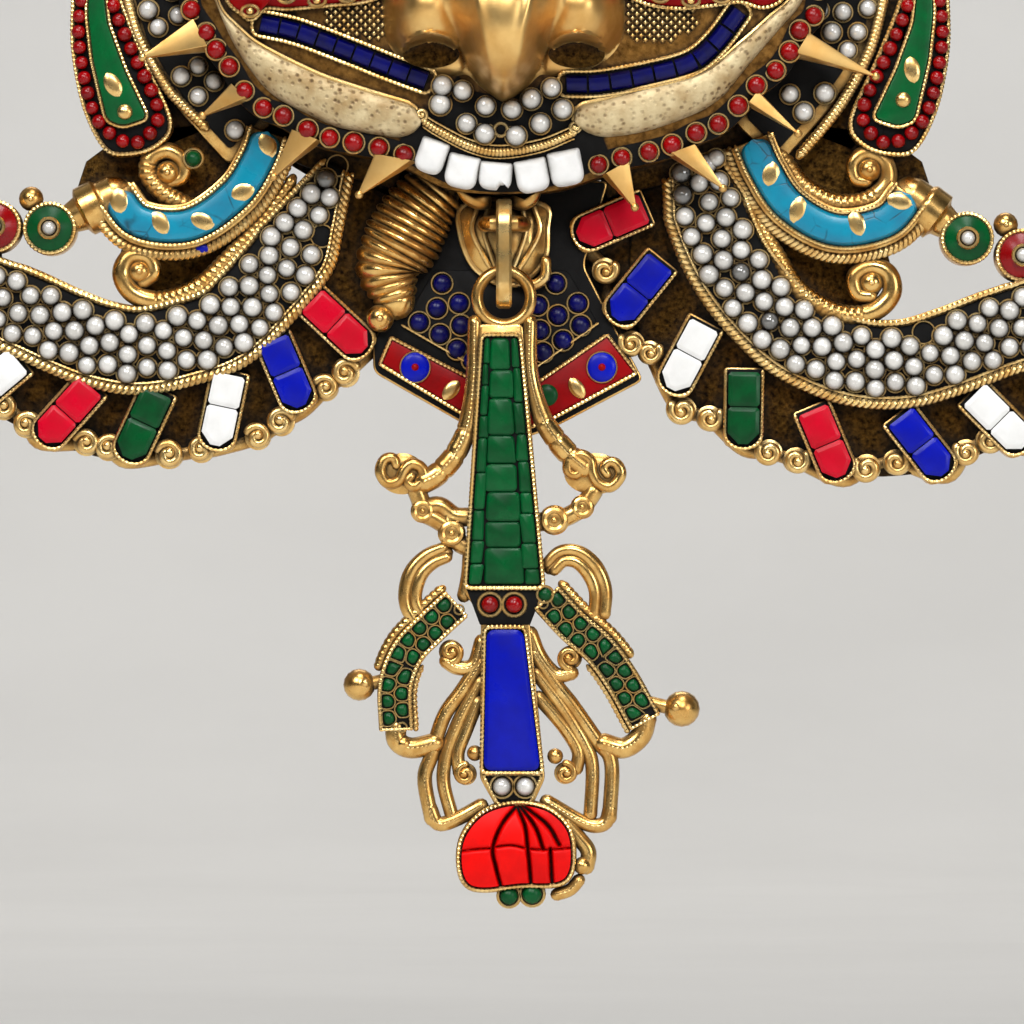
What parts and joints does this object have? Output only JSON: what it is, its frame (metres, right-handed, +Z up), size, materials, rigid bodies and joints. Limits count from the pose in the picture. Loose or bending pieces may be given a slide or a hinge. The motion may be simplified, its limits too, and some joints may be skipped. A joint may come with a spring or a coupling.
{
  "type": "kirtimukha wall mask",
  "caption": "Cast brass kirtimukha monster-face wall mask inlaid with coloured stones, with a pendant that swings from a link in the mouth.",
  "frame": {"origin": "On the flat back of the hanging pad, just above its nail hole, on the wall plane", "axes": "+Z up, +X to the viewer's right, +Y into the wall; the face looks along -Y"},
  "size_m": [0.2653, 0.0534, 0.2644],
  "materials": {
    "brass": "cast brass, polished on the high parts and dark in the hollows",
    "white": "polished white stone, chipped at the edges",
    "pearl": "glossy white pearls in wire rings on black lac",
    "lapis": "polished deep blue stone",
    "coral": "polished red beads on black lac",
    "green": "polished green stone",
    "turquoise": "polished turquoise with dark veins",
    "crimson": "polished crimson stone",
    "royal_blue": "polished bright blue stone",
    "enamel": "glossy dark red enamel",
    "lotus_red": "polished orange red stone",
    "black_lac": "black lac bedding round the beads and stones"
  },
  "bodies": {
    "mask": {"mask_casting": "brass", "wing_pearls_left": "pearl", "wing_stone_left_1": "crimson", "wing_stone_left_2": "royal_blue", "wing_stone_left_3": "white", "wing_stone_left_4": "green", "wing_stone_left_5": "crimson", "wing_stone_left_6": "white", "wing_stone_left_7": "green", "wing_stone_left_8": "royal_blue", "wing_stone_left_9": "crimson", "arm_turquoise_left": "turquoise", "ear_stone_left": "green", "ear_corals_left": "coral", "disc_green_left": "green", "disc_red_left": "coral", "cheek_corals_left": "coral", "moustache_lapis_left": "lapis", "brow_turquoise_left": "turquoise", "eye_left": "white", "wing_pearls_right": "pearl", "wing_stone_right_1": "crimson", "wing_stone_right_2": "royal_blue", "wing_stone_right_3": "white", "wing_stone_right_4": "green", "wing_stone_right_5": "crimson", "wing_stone_right_6": "royal_blue", "wing_stone_right_7": "white", "wing_stone_right_8": "green", "wing_stone_right_9": "crimson", "wing_stone_right_10": "royal_blue", "arm_turquoise_right": "turquoise", "ear_stone_right": "green", "ear_corals_right": "coral", "disc_green_right": "green", "disc_red_right": "coral", "cheek_corals_right": "coral", "moustache_lapis_right": "lapis", "brow_turquoise_right": "turquoise", "eye_right": "white", "tooth_1": "white", "tooth_2": "white", "tooth_3": "white", "tooth_4": "white", "tooth_5": "white", "lip_pearls": "pearl", "chin_lapis": "lapis", "chin_enamel": "enamel", "forehead_jewel": "coral", "crown_stone_middle": "lapis", "crown_stone_left": "coral", "crown_stone_right": "coral", "mouth_link": "brass"},
    "pendant": {"pendant_casting": "brass", "pendant_green_panel": "green", "pendant_blue_panel": "royal_blue", "pendant_lotus": "lotus_red", "pendant_scales_left": "green", "pendant_scales_right": "green"}
  },
  "joints": [
    {"name": "pendant_swing", "type": "hinge", "parent": "mask", "child": "pendant", "pos_m": [0, -0.022, -0.0944], "axis": [-1, 0, 0], "range_deg": [-4, 95]}
  ]
}
